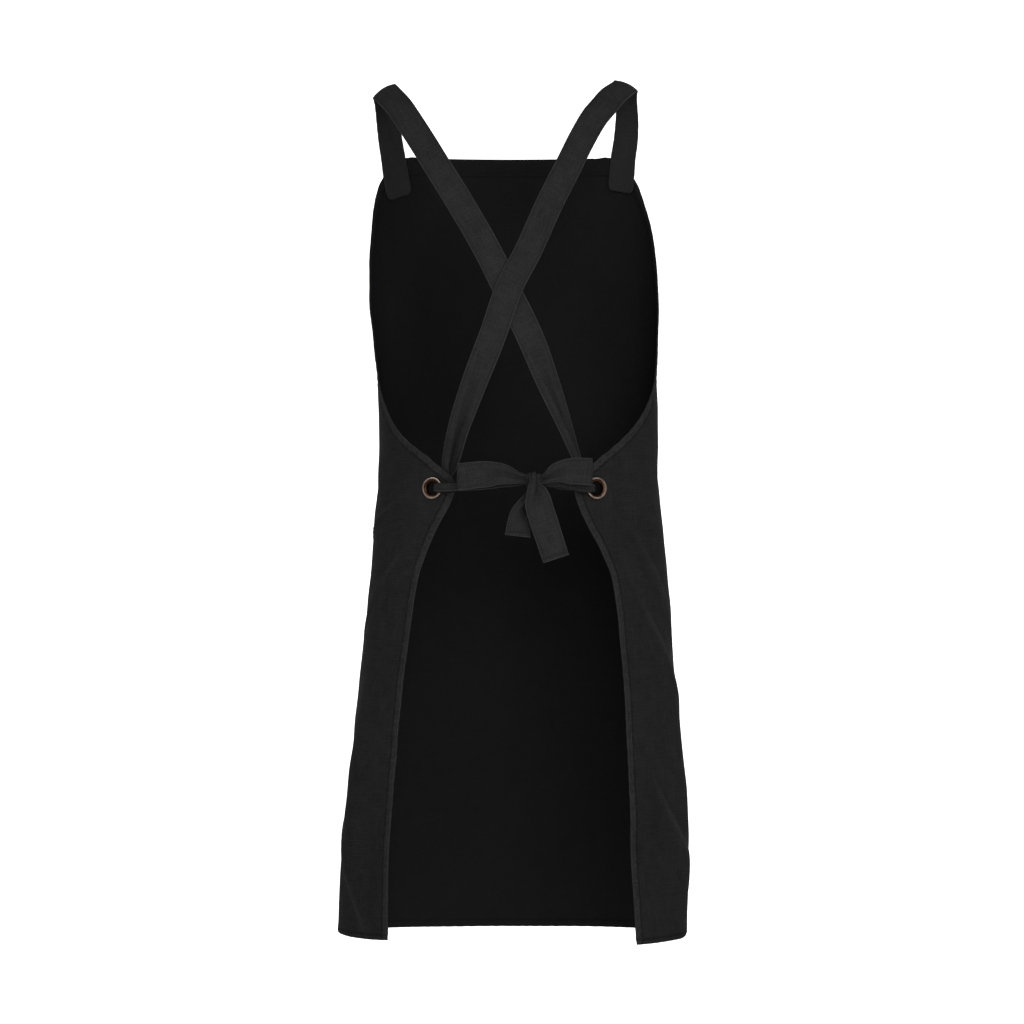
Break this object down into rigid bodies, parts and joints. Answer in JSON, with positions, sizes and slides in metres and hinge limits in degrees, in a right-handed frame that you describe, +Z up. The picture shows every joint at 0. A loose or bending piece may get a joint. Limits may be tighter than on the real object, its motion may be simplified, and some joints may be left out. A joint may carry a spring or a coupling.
{
  "type": "cross back apron",
  "caption": "Full-length canvas work apron in its worn shape, with flat straps that cross on the back, pass through metal eyelets and tie in a bow.",
  "frame": {"origin": "midway between the crests of the two straps, on their underside, where the wearer's shoulders carry them", "axes": "+Z up, -Y towards the wearer's front (the bib), +Y towards the back (the bow), +X towards the wearer's left"},
  "size_m": [0.3774, 0.2714, 0.9326],
  "materials": {
    "canvas": "matte black canvas with stitched hems",
    "strap": "matte black canvas strap with a lengthwise seam",
    "eyelet": "antique copper plating, satin"
  },
  "bodies": {
    "root": {"apron_body": "canvas", "strap_left": "strap", "strap_right": "strap", "bow_knot": "strap", "bow_loop_left": "strap", "bow_loop_right": "strap", "tie_end_long": "strap", "tie_end_short": "strap", "eyelet_left": "eyelet", "eyelet_right": "eyelet"}
  },
  "joints": []
}
